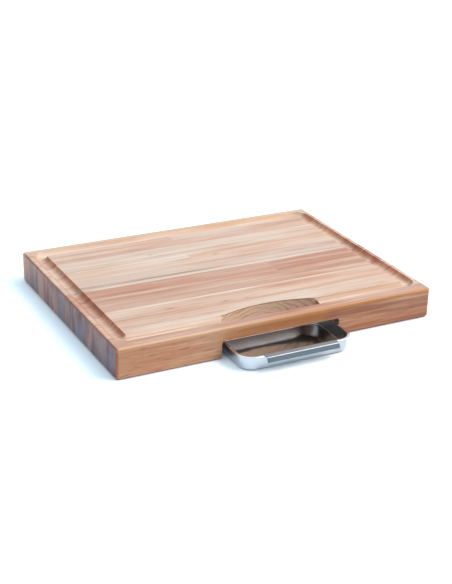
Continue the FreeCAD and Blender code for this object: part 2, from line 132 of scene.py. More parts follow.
def calculate(tree, operation, *values):
    """One plain calculation on values per point, such as a sum or a product."""
    node = add_node(tree, "ShaderNodeMath", dict(enumerate(values)), operation=operation)
    return node.outputs[0]


def product(tree, *values):
    """The product of two or more values."""
    result = values[0]
    for value in values[1:]:
        result = calculate(tree, "MULTIPLY", result, value)
    return result


def add_scaled(tree, value, factor, base):
    """A value times a factor, plus a base."""
    return calculate(tree, "MULTIPLY_ADD", value, factor, base)


def smooth_step(tree, value, low, high, start=0.0, end=1.0):
    """A soft switch: start below low, end above high, an S-curve between."""
    inputs = {"Value": value, "From Min": low, "From Max": high, "To Min": start, "To Max": end}
    node = add_node(tree, "ShaderNodeMapRange", inputs, interpolation_type="SMOOTHSTEP")
    return node.outputs["Result"]


def cloud(tree, position, spots, detail=2.0, roughness=0.5):
    """Cloudy noise from 0 to 1, with so many spots to the metre along x, y and z."""
    scaled = add_node(tree, "ShaderNodeVectorMath", {0: position, 1: spots}, operation="MULTIPLY")
    inputs = {"Vector": scaled.outputs[0], "Scale": 1.0, "Detail": detail, "Roughness": roughness}
    return add_node(tree, "ShaderNodeTexNoise", inputs).outputs[0]


def vector_of(tree, x, y, z):
    """Three values as one vector."""
    return add_node(tree, "ShaderNodeCombineXYZ", {"X": x, "Y": y, "Z": z}).outputs[0]


def parts_of(tree, vector):
    """The x, y and z of a vector, each a socket of its own."""
    return add_node(tree, "ShaderNodeSeparateXYZ", {0: vector}).outputs


def mix(tree, share, first, second, mode="MIX"):
    """Two colours mixed by a share from 0 to 1."""
    inputs = {0: share, 6: first, 7: second}
    node = add_node(tree, "ShaderNodeMix", inputs, data_type="RGBA", blend_type=mode)
    return node.outputs[2]


def new_group(name, inputs, outputs):
    """An empty node group: gives its tree, the sockets inside that bring values in, and its way out.

    Inputs and outputs are the names of sockets, by their kind.
    """
    tree = bpy.data.node_groups.new(name, "ShaderNodeTree")
    for way, kinds in (("INPUT", inputs), ("OUTPUT", outputs)):
        for kind, socket_names in kinds.items():
            for socket_name in socket_names:
                tree.interface.new_socket(socket_name, in_out=way, socket_type=f"NodeSocket{kind}")
    entry = tree.nodes.new("NodeGroupInput")
    way_out = tree.nodes.new("NodeGroupOutput")
    return tree, entry.outputs, way_out.inputs


def new_material(name):
    """A material with its Principled shader and the two sockets that say where on the piece it is."""
    material = bpy.data.materials.new(name)
    material.use_nodes = True
    tree = material.node_tree
    place = tree.nodes.new("ShaderNodeTexCoord").outputs["Object"]
    facing = tree.nodes.new("ShaderNodeNewGeometry").outputs["Normal"]
    return material, tree, tree.nodes["Principled BSDF"], place, facing


def feed_shader(tree, shader, colour, figure, strength, depth):
    """Link a colour, and a group's roughness and height, to a shader; the relief is so deep in metres."""
    relief = {"Height": figure["Height"], "Strength": strength, "Distance": depth}
    bump = add_node(tree, "ShaderNodeBump", relief)
    tree.links.new(colour, shader.inputs["Base Color"])
    tree.links.new(figure["Roughness"], shader.inputs["Roughness"])
    tree.links.new(bump.outputs["Normal"], shader.inputs["Normal"])


print("a middle grey is", [round(value, 3) for value in tone(128, 128, 128)])

# %% [markdown]
# ## Maple
#
# Wood is solid, so its figure is a solid pattern: growth rings are tubes round the heart of the
# tree, and a stave is a stick sawn out of them. The pattern is worked out at each point of space,
# and every cut through it comes out right: lines along the top, bands on the end grain, flames on a
# face that runs along the rings. A flat wood picture could not turn the corner into the groove. One
# group holds the figure, and each stave places it with its own heart, tone and seed.

# %% Rings, bands and fibres
RING_WIDTH = 0.0034
TRUNK_WANDER = 0.012
PLANK_STEP = 0.017
LATE_RAGGED = 2.4
PLAIN_DEPTH = -0.04
BAND_WEIGHT = 1.35
FIBRE_WEIGHT = 1.3
LATE_WEIGHT = 0.1
PORE_WEIGHT = 0.16


def ring_number(tree, given, place, stock, after):
    """How many rings lie between a point and the heart line, with a trunk's slow wander."""
    wander = calculate(tree, "SUBTRACT", cloud(tree, stock, (2.5, 9.0, 9.0)), 0.5)
    side = calculate(tree, "SUBTRACT", place["Y"], given["Heart Side"])
    side = add_scaled(tree, after, PLANK_STEP, side)
    side = add_scaled(tree, wander, TRUNK_WANDER, side)
    rise = calculate(tree, "SUBTRACT", place["Z"], given["Heart Height"])
    square = add_scaled(tree, rise, rise, product(tree, side, side))
    return calculate(tree, "DIVIDE", calculate(tree, "SQRT", square), RING_WIDTH)


def late_wood(tree, rings, stock):
    """The dark line that ends each year's growth: it rises slowly, falls sharply, and is uneven."""
    uneven = cloud(tree, stock, (5.0, 55.0, 55.0))
    year = calculate(tree, "FRACT", add_scaled(tree, uneven, LATE_RAGGED, rings))
    fall = smooth_step(tree, year, 0.9, 1.0, 1.0, 0.0)
    return product(tree, smooth_step(tree, year, 0.1, 0.9), fall)


def year_bands(tree, rings, place, shift):
    """Some years grow darker than others: noise that follows the rings, and changes slowly along x."""
    along = vector_of(tree, rings, place["X"], shift)
    return cloud(tree, along, (0.32, 2.6, 1.0), detail=3.0, roughness=0.6)


def depth_of_tone(tree, bands, fibre, late, pores):
    """How much deeper than plain a point is: bands and fibres about zero, plus late wood and pores."""
    depth = add_scaled(tree, calculate(tree, "SUBTRACT", bands, 0.5), BAND_WEIGHT, PLAIN_DEPTH)
    depth = add_scaled(tree, calculate(tree, "SUBTRACT", fibre, 0.5), FIBRE_WEIGHT, depth)
    depth = add_scaled(tree, late, LATE_WEIGHT, depth)
    return add_scaled(tree, pores, PORE_WEIGHT, depth)


print("rings are", RING_WIDTH * 1000, "mm wide")

# %% [markdown]
# The same stick looks different on each cut. Long faces show cream and deep streaks. Oil and wear
# make the board's outer sides warmer. Its top edges along front and back carry a painted highlight,
# pale at the left and golden at the right, which also lies faintly on a band just below them. Its
# upright corners are amber, and the edges of its two ends are brown. End grain drinks the oil: it is
# brown in the groove, and on the ends tan and purple under patches of wax with a painted slate-grey
# reflection. One material for each cut would leave hard seams on the round edges, so these tones are
# mixed by soft masks.

# %% Tones of each cut
DEEPER = (0.74, 0.59, 0.5, 1.0)
CREAM_STREAK = tone(255, 240, 220)
BLUSH_CLOUD = tone(248, 230, 222)
OILED_FACE = tone(243, 230, 208)
# painted highlight: the pale tone of the long top edges, turning to the golden one at the right
EDGE_HIGHLIGHT = tone(255, 222, 184)
GOLDEN_EDGE = tone(217, 152, 84)
CORNER_EDGE = tone(240, 186, 140)
END_EDGE = tone(210, 156, 122)
GLUE_LINE = tone(226, 206, 190)
END_SEAM = tone(206, 166, 148)
GROOVE_BROWN = tone(242, 202, 176)
GROOVE_DARK = tone(212, 158, 130)
# a golden tone with painted shade, for the walls of the groove's front run
GROOVE_GOLD_SHADE = tone(227, 213, 196)
END_TAN = tone(214, 170, 152)
END_PURPLE = tone(124, 86, 84)
# painted reflection: the cool slate-grey that the wax patches on the ends take
WAX_REFLECTION_SLATE = tone(147, 137, 158)
# painted shade along the foot of the board's outer faces, where it stands on the table
FOOT_SHADE = tone(150, 122, 116)
# painted shade inside the tray's bay
BAY_SHADE = tone(142, 116, 110)
print("wax on the ends is", [round(value, 3) for value in WAX_REFLECTION_SLATE[:3]])

# %% [markdown]
# A mask says where a tone lies, from nought to one: on the board's outer faces and eased edges, in
# the bay, which gets painted shade, on the walls of the groove's front run, which get a golden tone
# with painted shade, and on the band under the top edge, which gets a painted highlight. Each is
# worked out from where a point lies and which way its face looks. Painted maps could hold them too,
# but every stave would have to be unfolded flat.

# %% Masks by place
EASED_WIDTH = 0.0068
EASED_BLUR = 0.001
GOLDEN_REACH = (-0.16, 0.06)
COVE_STEEP = (0.2, 0.65)
COVE_RISE = (0.045, 0.049)
COVE_FAINT = 0.15
COVE_GAIN = 0.85
# where the band under the top edge gets its painted highlight
BAND_STEEP = (0.1, 0.5)
BAND_RISE = (0.0475, 0.0515)
BAND_FAINT = 0.18
BAND_GAIN = 0.2
BAY_SHADE_SHARE = 0.8
BAY_MARGIN = 0.0003
BAY_CORNER = 0.0147
FRONT_MARGIN = 0.0004
board_half = max(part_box(name)[1].x for name in stave_names), max(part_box(name)[1].y for name in stave_names)
runner_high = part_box("runner_right")[1]
bay_half = runner_high.x + BAY_MARGIN
bay_top = runner_high.z + BAY_MARGIN
bay_rear = runner_high.y + BAY_CORNER + BAY_MARGIN
bay_front = FRONT_MARGIN - board_half[1]


def outer_mask(tree, place):
    """One on the board's outer faces and their eased edges, nought in the groove and the holes."""
    across = calculate(tree, "SUBTRACT", calculate(tree, "ABSOLUTE", place["X"]), board_half[0] - EASED_WIDTH)
    along = calculate(tree, "SUBTRACT", calculate(tree, "ABSOLUTE", place["Y"]), board_half[1] - EASED_WIDTH)
    return smooth_step(tree, calculate(tree, "MAXIMUM", across, along), -EASED_BLUR, EASED_BLUR)


def bay_mask(tree, place):
    """The share of painted shade on the walls and ceiling of the tray's bay, behind the front face; nought
    elsewhere.
    """
    low = calculate(tree, "LESS_THAN", place["Z"], bay_top)
    beside = calculate(tree, "LESS_THAN", calculate(tree, "ABSOLUTE", place["X"]), bay_half)
    ahead = calculate(tree, "LESS_THAN", place["Y"], bay_rear)
    behind = calculate(tree, "GREATER_THAN", place["Y"], bay_front)
    return product(tree, low, beside, ahead, behind, BAY_SHADE_SHARE)


def cove_mask(tree, place, facing, outer, to_right):
    """Walls of the groove's front run, golden with painted shade, faint at the board's left and full at its right.
    """
    steep = smooth_step(tree, facing["Y"], *COVE_STEEP)
    high = smooth_step(tree, place["Z"], *COVE_RISE)
    ahead = calculate(tree, "LESS_THAN", place["Y"], 0.0)
    inner = calculate(tree, "MAXIMUM", calculate(tree, "SUBTRACT", ahead, outer), 0.0)
    return product(tree, steep, high, inner, add_scaled(tree, to_right, COVE_GAIN, COVE_FAINT))


def band_highlight_mask(tree, place, facing, outer, to_right):
    """The band under the top edge of front and back that gets a painted highlight, stronger at the board's right.
    """
    steep = smooth_step(tree, facing["Y"], *BAND_STEEP)
    high = smooth_step(tree, place["Z"], *BAND_RISE)
    return product(tree, steep, high, outer, add_scaled(tree, to_right, BAND_GAIN, BAND_FAINT))


print("half of the board:", [round(value, 4) for value in board_half], "half of the bay:", round(bay_half, 4))

# %% [markdown]
# A plank's long faces go from cream to a deeper tone with the figure. Its ends are stained in bands,
# and wax lies over the stain in tall patches, painted slate-grey as a painted reflection. One colour
# ramp could not tell the two apart, so each has a function, and the layers come in the order in which
# the board got them: wood, oil, wax.

# %% Long grain and end grain
BLUSH_EDGE = (0.4, 0.65)
CREAM_SHARE = 0.5
CREAM_DEPTH = -0.36
FULL_DEPTH = 0.5
WAX_BANDS = 0.2
WAX_EDGE = (0.48, 0.72)
STAIN_BANDS = 0.25
STAIN_LATE = 0.08
STAIN_EDGE = (0.5, 0.82)
RIGHT_RELIEF = -0.14


def long_grain(tree, given, after, depth, stock):
    """Pale wood that goes to a deeper tone where the depth is above zero and to cream below it."""
    pale = mix(tree, after, given["Pale"], given["Pale After"])
    blush = smooth_step(tree, cloud(tree, stock, (5.0, 17.0, 17.0)), *BLUSH_EDGE)
    pale = mix(tree, blush, pale, BLUSH_CLOUD, "MULTIPLY")
    cream = mix(tree, CREAM_SHARE, pale, CREAM_STREAK)
    deep = mix(tree, 1.0, pale, DEEPER, "MULTIPLY")
    colour = mix(tree, smooth_step(tree, depth, 0.0, FULL_DEPTH), pale, deep)
    return mix(tree, smooth_step(tree, depth, CREAM_DEPTH, 0.0, 1.0, 0.0), colour, cream)


def wax_patches(tree, given, stock, bands):
    """Where wax still sits on an end: tall patches that follow the bands, more of them on some staves."""
    patches = cloud(tree, stock, (0.0, 30.0, 14.0), detail=3.0)
    patches = add_scaled(tree, bands, WAX_BANDS, patches)
    return product(tree, smooth_step(tree, patches, *WAX_EDGE), given["Wax"])


def end_grain(tree, given, place, colour, stock, bands, late, outer, wax):
    """Brown end grain in the groove; on the outer ends tan and purple bands under wax with a painted slate-grey
    reflection.
    """
    stain = add_scaled(tree, bands, STAIN_BANDS, cloud(tree, stock, (3.0, 30.0, 10.0)))
    stain = calculate(tree, "ADD", stain, given["End Depth"])
    stain = add_scaled(tree, calculate(tree, "GREATER_THAN", place["X"], 0.0), RIGHT_RELIEF, stain)
    dark = smooth_step(tree, add_scaled(tree, late, STAIN_LATE, stain), *STAIN_EDGE)
    inner = mix(tree, 1.0, colour, mix(tree, dark, GROOVE_BROWN, GROOVE_DARK), "MULTIPLY")
    # painted reflection: the wax patches take a slate-grey tone
    waxed = mix(tree, wax, mix(tree, dark, END_TAN, END_PURPLE), WAX_REFLECTION_SLATE)
    return mix(tree, outer, inner, waxed)


print("stain on an end deepens between", STAIN_EDGE)

# %% [markdown]
# Three more things lie over the figure. The rounded strip between two outer faces carries a painted
# highlight along the grain and is soaked with oil round the ends. A thin darker line marks the glue at
# each of the stave's two seams. The lowest few millimetres get painted shade, where the board stands
# on the table. Strips of extra mesh could show them, but the frame's solids stay whole, so these are
# masks as well.

# %% Edges, seams and foot
END_TURN = (0.78, 0.98)
GROOVE_TURN = (0.1, 0.78)
EASED_FACING = (0.9, 0.998)
HIGHLIGHT_SHARE = 0.34
CORNER_TURN = (0.1, 0.4)
SOAKED_TURN = (0.15, 0.6)
SEAM_EDGE = (0.0002, 0.0014)
SEAM_SHARE = 0.45
FOOT_EDGE = (0.0006, 0.0032)


def end_mask(tree, facing, outer):
    """How far a face looks along the stick: sharp on the outer ends, gradual on the groove's round walls."""
    low = add_scaled(tree, outer, END_TURN[0] - GROOVE_TURN[0], GROOVE_TURN[0])
    high = add_scaled(tree, outer, END_TURN[1] - GROOVE_TURN[1], GROOVE_TURN[1])
    return smooth_step(tree, facing["X"], low, high)


def eased_edges(tree, facing, outer, oiled, golden):
    """The oiled colour with its rounded strips: a painted highlight along the grain, soaked round the two ends."""
    widest = calculate(tree, "MAXIMUM", facing["X"], calculate(tree, "MAXIMUM", facing["Y"], facing["Z"]))
    eased = product(tree, outer, smooth_step(tree, widest, *EASED_FACING, 1.0, 0.0))
    # painted highlight along the long eased edges
    highlighted = mix(tree, HIGHLIGHT_SHARE, oiled, golden)
    soaked = mix(tree, smooth_step(tree, facing["Z"], *CORNER_TURN), CORNER_EDGE, END_EDGE)
    soaked = mix(tree, 1.0, oiled, soaked, "MULTIPLY")
    edge = mix(tree, smooth_step(tree, facing["X"], *SOAKED_TURN), highlighted, soaked)
    return mix(tree, eased, oiled, edge)


def seams_and_foot(tree, given, place, colour, outer, on_end):
    """The colour with glue lines at the stave's two seams, in tan on the outer ends, and painted shade along the
    foot.
    """
    to_front = calculate(tree, "ABSOLUTE", calculate(tree, "SUBTRACT", place["Y"], given["Front"]))
    to_back = calculate(tree, "ABSOLUTE", calculate(tree, "SUBTRACT", place["Y"], given["Back"]))
    seam = smooth_step(tree, calculate(tree, "MINIMUM", to_front, to_back), *SEAM_EDGE, SEAM_SHARE, 0.0)
    colour = mix(tree, seam, colour, GLUE_LINE, "MULTIPLY")
    colour = mix(tree, product(tree, seam, on_end), colour, END_SEAM)
    # painted shade: the lowest few millimetres of the outer faces
    foot = product(tree, outer, smooth_step(tree, place["Z"], *FOOT_EDGE, 1.0, 0.0))
    return mix(tree, foot, colour, FOOT_SHADE, "MULTIPLY")


print("a glue line fades out over", SEAM_EDGE[1] * 1000, "mm")

# %% [markdown]
# The group puts it all together by the way a face looks. A face that looks up or sideways is long
# grain, one that looks along the stick is end grain, and what lies between them is an eased edge. It
# is one group, because every cut shows the same figure and ten staves place it.

# %% The maple group
PLANK_SEED = 0.71
FLANK_FACING = (0.6, 0.95)
PORE_EDGE = (0.56, 0.68)
PORES_PLAIN = 0.6
PORES_FLANK = 1.6
PORE_DEPTH = -0.5
ROUGH_PLAIN = 0.4
ROUGH_FIBRE = 0.2
WAX_POLISH = -0.12


def build_maple():
    """The whole figure: rings, bands, fibres and pores, coloured by the way each face was cut."""
    tree, given, result = new_group("maple_stock", {
        "Vector": ("Position", "Normal"), "Color": ("Pale", "Pale After"),
        "Float": ("Joint", "Front", "Back", "Heart Side", "Heart Height", "Wax", "End Depth", "Seed"),
    }, {"Color": ("Color", "Golden"), "Float": ("Roughness", "Height", "Band Highlight")})
    place = parts_of(tree, given["Position"])
    facing = add_node(tree, "ShaderNodeVectorMath", {0: given["Normal"]}, operation="ABSOLUTE")
    facing = parts_of(tree, facing.outputs[0])
    outer = outer_mask(tree, place)
    flank = product(tree, outer, smooth_step(tree, facing["Y"], *FLANK_FACING))
    after = calculate(tree, "GREATER_THAN", place["X"], given["Joint"])
    shift = add_scaled(tree, after, PLANK_SEED, given["Seed"])
    shifted = {0: given["Position"], 1: vector_of(tree, shift, shift, shift)}
    stock = add_node(tree, "ShaderNodeVectorMath", shifted).outputs[0]

    rings = ring_number(tree, given, place, stock, after)
    late = late_wood(tree, rings, stock)
    bands = year_bands(tree, rings, place, shift)
    fibre = cloud(tree, stock, (3.5, 110.0, 110.0), detail=5.0, roughness=0.66)
    fleck = smooth_step(tree, cloud(tree, stock, (40.0, 480.0, 480.0), detail=1.0), *PORE_EDGE)
    pores = product(tree, fleck, add_scaled(tree, flank, PORES_FLANK, PORES_PLAIN))
    depth = depth_of_tone(tree, bands, fibre, late, pores)

    colour = long_grain(tree, given, after, depth, stock)
    to_right = smooth_step(tree, place["X"], *GOLDEN_REACH)
    golden = mix(tree, to_right, EDGE_HIGHLIGHT, GOLDEN_EDGE)
    # golden tone with painted shade on the walls of the groove's front run
    colour = mix(tree, cove_mask(tree, place, facing, outer, to_right), colour, GROOVE_GOLD_SHADE, "MULTIPLY")
    oiled = mix(tree, flank, colour, OILED_FACE, "MULTIPLY")
    wax = wax_patches(tree, given, stock, bands)
    ends = end_grain(tree, given, place, colour, stock, bands, late, outer, wax)
    end_share = end_mask(tree, facing, outer)
    on_end = product(tree, outer, end_share)
    colour = mix(tree, end_share, eased_edges(tree, facing, outer, oiled, golden), ends)
    colour = seams_and_foot(tree, given, place, colour, outer, on_end)
    # painted shade on the walls and ceiling of the bay
    colour = mix(tree, bay_mask(tree, place), colour, BAY_SHADE)

    rough = add_scaled(tree, fibre, ROUGH_FIBRE, ROUGH_PLAIN)
    polish = product(tree, wax, on_end, WAX_POLISH)
    tree.links.new(band_highlight_mask(tree, place, facing, outer, to_right), result["Band Highlight"])
    tree.links.new(golden, result["Golden"])
    tree.links.new(colour, result["Color"])
    tree.links.new(calculate(tree, "ADD", rough, polish), result["Roughness"])
    tree.links.new(add_scaled(tree, fleck, PORE_DEPTH, fibre), result["Height"])
    return tree


maple = build_maple()
print("maple figure made of", len(maple.nodes), "nodes")

# %% [markdown]
# ## Streaks and knots
#
# Planks carry marks of their own. A streak is a thin stained sheet in the wood that shows as a line
# along the grain. A pin knot is the root of a twig: a dark core with a warm halo drawn out along the
# grain. Both are groups, because several staves have them in different places.

# %% Marks in the wood
STREAK_WANDER = 0.004
STREAK_OPENING = 0.03
STREAK_CLOSING = 0.09
STREAK_FAINT = 0.2
STREAK_GAIN = 0.75
KNOT_STRETCH = 0.32
KNOT_RAGGED = 0.9
CORE_EDGE = (0.2, 0.75)
HALO_EDGE = (0.4, 2.6)


def build_streak():
    """A line along x: full at its middle, fading across its width and towards its two ends."""
    tree, given, result = new_group("grain_streak", {
        "Vector": ("Position",), "Float": ("Line", "Slope", "Width", "Start", "End"),
    }, {"Float": ("Mask",)})
    place = parts_of(tree, given["Position"])
    wander = calculate(tree, "SUBTRACT", cloud(tree, given["Position"], (9.0, 0.0, 0.0)), 0.5)
    middle = add_scaled(tree, place["X"], given["Slope"], given["Line"])
    middle = add_scaled(tree, wander, STREAK_WANDER, middle)
    away = calculate(tree, "ABSOLUTE", calculate(tree, "SUBTRACT", place["Y"], middle))
    across = smooth_step(tree, calculate(tree, "DIVIDE", away, given["Width"]), 0.1, 1.0, 1.0, 0.0)
    opening = smooth_step(tree, calculate(tree, "SUBTRACT", place["X"], given["Start"]), 0.0, STREAK_OPENING)
    closing = smooth_step(tree, calculate(tree, "SUBTRACT", given["End"], place["X"]), 0.0, STREAK_CLOSING)
    ragged = smooth_step(tree, cloud(tree, given["Position"], (7.0, 190.0, 190.0), detail=3.0), 0.35, 0.62)
    ragged = add_scaled(tree, ragged, STREAK_GAIN, STREAK_FAINT)
    tree.links.new(product(tree, across, ragged, opening, closing), result["Mask"])
    return tree


def build_knot():
    """An ellipse about a point (x, y), three times as long as wide, with a core and a wider halo."""
    tree, given, result = new_group("pin_knot", {
        "Vector": ("Position",), "Float": ("X", "Y", "Size"),
    }, {"Float": ("Core", "Halo")})
    place = parts_of(tree, given["Position"])
    long = calculate(tree, "DIVIDE", calculate(tree, "SUBTRACT", place["X"], given["X"]), given["Size"])
    wide = calculate(tree, "DIVIDE", calculate(tree, "SUBTRACT", place["Y"], given["Y"]), given["Size"])
    long = product(tree, long, KNOT_STRETCH)
    square = add_scaled(tree, long, long, product(tree, wide, wide))
    ragged = calculate(tree, "SUBTRACT", cloud(tree, given["Position"], (120.0, 260.0, 60.0)), 0.5)
    away = add_scaled(tree, ragged, KNOT_RAGGED, calculate(tree, "SQRT", square))
    tree.links.new(smooth_step(tree, away, *CORE_EDGE, 1.0, 0.0), result["Core"])
    tree.links.new(smooth_step(tree, away, *HALO_EDGE, 1.0, 0.0), result["Halo"])
    return tree


streak_group = build_streak()
knot_group = build_knot()
print("marks:", streak_group.name, knot_group.name)

# %% [markdown]
# Behind the half-moon hole one stave was cut beside a hidden knot. There the rings swirl round it,
# and the hole's upright wall shows them as nested arches. The maple's own rings are tubes along the
# stick and can't swirl, so a second set about a point of that wall takes their place.

# %% A swirl round a hidden knot
SWIRL_RING = 0.0066
SWIRL_STRETCH = 2.3
SWIRL_RAGGED = 1.6
SWIRL_SHARE = 0.85
SCOOP_HALF = 0.0954
SCOOP_FADE = 0.004
BROW_RISE = (0.0545, 0.0562)
SWIRL_PALE = tone(255, 219, 190)
SWIRL_LINE = tone(202, 138, 92)


def swirl_masks(tree, place, facing, centre):
    """Rings about a point (x, z), stretched along x; gives masks of the hole's curved wall and of its lines."""
    where = parts_of(tree, place)
    long = calculate(tree, "DIVIDE", calculate(tree, "SUBTRACT", where["X"], centre[0]), SWIRL_STRETCH)
    rise = calculate(tree, "SUBTRACT", where["Z"], centre[1])
    square = add_scaled(tree, long, long, product(tree, rise, rise))
    rings = calculate(tree, "DIVIDE", calculate(tree, "SQRT", square), SWIRL_RING)
    uneven = cloud(tree, place, (38.0, 10.0, 38.0), detail=2.0)
    year = calculate(tree, "FRACT", add_scaled(tree, uneven, SWIRL_RAGGED, rings))
    fall = smooth_step(tree, year, 0.85, 1.0, 1.0, 0.0)
    line = product(tree, smooth_step(tree, year, 0.45, 0.85), fall)
    patchy = smooth_step(tree, cloud(tree, place, (30.0, 10.0, 60.0)), 0.3, 0.65, 0.15, 0.8)
    upright = smooth_step(tree, calculate(tree, "ABSOLUTE", parts_of(tree, facing)["Y"]), 0.55, 0.9)
    beside = calculate(tree, "ABSOLUTE", where["X"])
    beside = smooth_step(tree, beside, SCOOP_HALF - SCOOP_FADE, SCOOP_HALF, 1.0, 0.0)
    upright = product(tree, upright, beside)
    brow = smooth_step(tree, where["Z"], *BROW_RISE)
    line = calculate(tree, "MAXIMUM", product(tree, line, patchy), brow)
    return product(tree, upright, SWIRL_SHARE), product(tree, line, upright)


print("swirl rings are", SWIRL_RING * 1000, "mm apart")

# %% [markdown]
# ## The staves
#
# Each stave came from another plank, and some are two lengths joined end to end, so the tone
# changes at a straight line across. The frame's solids have the right shape, so they stay, and each
# gets its own maple: a pale tone, the tone after the joint, a heart to one side of the stave, the
# share of wax and the depth of stain on its end, and its marks. A heart far to the side makes the
# rings stand almost upright, as in edge grain. A streak is given by its stain, its line in y, slope,
# width, start and end, and a knot by its x, y and size. Chance could set all this, but a board is
# known by its planks.

# %% What each stave is like
CREAM = tone(243, 223, 207)
BLUSH = tone(240, 215, 199)
PEACH = tone(235, 203, 184)
SAND = tone(231, 207, 192)
ROSE = tone(219, 179, 159)
RUSSET = tone(210, 166, 146)
MINERAL = tone(180, 152, 134)
GOLDEN = tone(244, 214, 180)
HONEY = tone(224, 180, 138)
AMBER = tone(196, 124, 66)
BRICK = tone(150, 94, 73)
RED_HALO = tone(214, 168, 146)
KNOT_CORE = tone(150, 104, 84)

PLAIN = {"after": None, "joint": 1.0, "wax": (0.5, 0.0), "swirl": None, "streaks": (), "knots": ()}
STAVES = {
    "stave_01": {"pale": SAND, "heart": (0.14, 0.03), "seed": 1.7, "wax": (0.1, -0.09),
                 "streaks": [(GOLDEN, 0.222, 0.0, 0.014, -0.34, 0.5),
                             # painted highlight: this cream streak lies along the floor of the groove's back run
                             (CREAM_STREAK, 0.2025, 0.0, 0.0125, -0.297, 0.34),
                             (HONEY, 0.2122, 0.0, 0.0055, 0.05, 0.45)]},
    "stave_02": {"pale": PEACH, "after": BLUSH, "joint": -0.019, "heart": (-0.16, 0.035), "seed": 2.9,
                 "wax": (0.7, 0.02)},
    "stave_03": {"pale": CREAM, "heart": (0.2, 0.02), "seed": 3.1, "wax": (0.25, -0.12),
                 "knots": [(-0.091, 0.117, 0.0012)]},
    "stave_04": {"pale": CREAM, "after": BLUSH, "joint": -0.028, "heart": (-0.13, 0.02), "seed": 4.7,
                 "wax": (0.2, 0.1), "streaks": [(CREAM_STREAK, 0.0915, 0.0, 0.005, -0.27, 0.28)],
                 "knots": [(0.024, 0.072, 0.002)]},
    "stave_05": {"pale": SAND, "heart": (0.15, 0.04), "seed": 5.9, "wax": (0.7, 0.08),
                 "streaks": [(MINERAL, 0.0135, -0.019, 0.0056, -0.3, 0.05),
                             (MINERAL, 0.0125, -0.012, 0.0024, -0.3, 0.32),
                             (CREAM_STREAK, 0.0045, 0.0, 0.006, -0.27, 0.28)]},
    "stave_06": {"pale": ROSE, "after": RUSSET, "joint": 0.093, "heart": (-0.2, 0.02), "seed": 6.9,
                 "wax": (0.3, -0.04), "streaks": [(CREAM_STREAK, -0.0415, 0.0, 0.0028, -0.09, 0.03)]},
    "stave_07": {"pale": ROSE, "heart": (0.13, 0.01), "seed": 7.4, "wax": (1.0, 0.08)},
    "stave_08": {"pale": PEACH, "heart": (-0.14, 0.03), "seed": 8.8, "wax": (0.3, 0.07),
                 "streaks": [(CREAM_STREAK, -0.0955, 0.0, 0.005, -0.27, 0.28)],
                 "knots": [(-0.159, -0.121, 0.0028), (-0.058, -0.131, 0.0026), (-0.018, -0.133, 0.0015)]},
    "stave_09": {"pale": CREAM, "heart": (0.12, 0.0), "seed": 9.6, "wax": (0.75, 0.06), "swirl": (-0.02, 0.024)},
    "stave_10": {"pale": ROSE, "heart": (0.05, -0.26), "seed": 10.5, "wax": (0.9, 0.2),
                 # painted highlight: the first cream streak lies along the floor of the groove's front run
                 "streaks": [(CREAM_STREAK, -0.1935, 0.0, 0.0125, -0.297, 0.34),
                             (PEACH, -0.219, 0.0, 0.008, -0.29, -0.1), (PEACH, -0.211, 0.0, 0.0045, 0.08, 0.3),
                             (AMBER, -0.2306, 0.0, 0.0065, -0.13, 0.26),
                             (BRICK, -0.2306, 0.0, 0.0065, 0.075, 0.5)]},
}
print("marked staves:", [name for name, kind in STAVES.items() if "knots" in kind or "streaks" in kind])

# %% [markdown]
# A stave's material places the maple group, lays its marks over the colour one by one, and feeds the
# shader. The marks come before the shader and after the figure, so they follow every cut as well.

# %% Dress the staves
OUTSIDE = 1.0
GRAIN_STRENGTH = 0.25
GRAIN_DEPTH = 0.0004
HALO_SHARE = 0.6
CORE_SHARE = 0.7


def add_marks(tree, place, colour, streaks, knots):
    """Lay streaks and knots over a colour; gives the marked colour."""
    for stain, line, slope, width, start, end in streaks:
        inputs = {"Position": place, "Line": line, "Slope": slope, "Width": width, "Start": start, "End": end}
        mask = add_node(tree, "ShaderNodeGroup", inputs, node_tree=streak_group).outputs["Mask"]
        colour = mix(tree, mask, colour, stain)
    for x, y, size in knots:
        inputs = {"Position": place, "X": x, "Y": y, "Size": size}
        knot = add_node(tree, "ShaderNodeGroup", inputs, node_tree=knot_group).outputs
        colour = mix(tree, product(tree, knot["Halo"], HALO_SHARE), colour, RED_HALO)
        colour = mix(tree, product(tree, knot["Core"], CORE_SHARE), colour, KNOT_CORE)
    return colour


def maple_finish(name, front, back, pale, after, joint, heart, seed, wax, swirl, streaks, knots):
    """A maple material; front and back are the stave's seams, and its heart lies that far beside its middle.

    A side without a seam, such as the board's own front, has it set far outside.
    """
    material, tree, shader, place, facing = new_material(name)
    figure = add_node(tree, "ShaderNodeGroup", {
        "Position": place, "Normal": facing, "Pale": pale, "Pale After": after or pale, "Joint": joint,
        "Front": front if front > -board_half[1] else -OUTSIDE, "Back": back if back < board_half[1] else OUTSIDE,
        "Heart Side": (front + back) / 2 + heart[0], "Heart Height": heart[1],
        "Wax": wax[0], "End Depth": wax[1], "Seed": seed,
    }, node_tree=maple).outputs
    colour = add_marks(tree, place, figure["Color"], streaks, knots)
    # painted highlight: the edge tone laid faintly on the band under the top edge
    colour = mix(tree, figure["Band Highlight"], colour, figure["Golden"])
    if swirl:
        wall, lines = swirl_masks(tree, place, facing, swirl)
        colour = mix(tree, wall, colour, SWIRL_PALE)
        colour = mix(tree, lines, colour, SWIRL_LINE)
    feed_shader(tree, shader, colour, figure, GRAIN_STRENGTH, GRAIN_DEPTH)
    return material


def paint(node_name, material):
    """Give a node of the frame one material in place of its own."""
    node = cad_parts[node_name]
    node.data.materials.clear()
    node.data.materials.append(material)


for name in stave_names:
    low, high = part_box(name)
    paint(name, maple_finish(f"maple_{name}", low.y, high.y, **{**PLAIN, **STAVES[name]}))
print("dressed", len(stave_names), "staves")

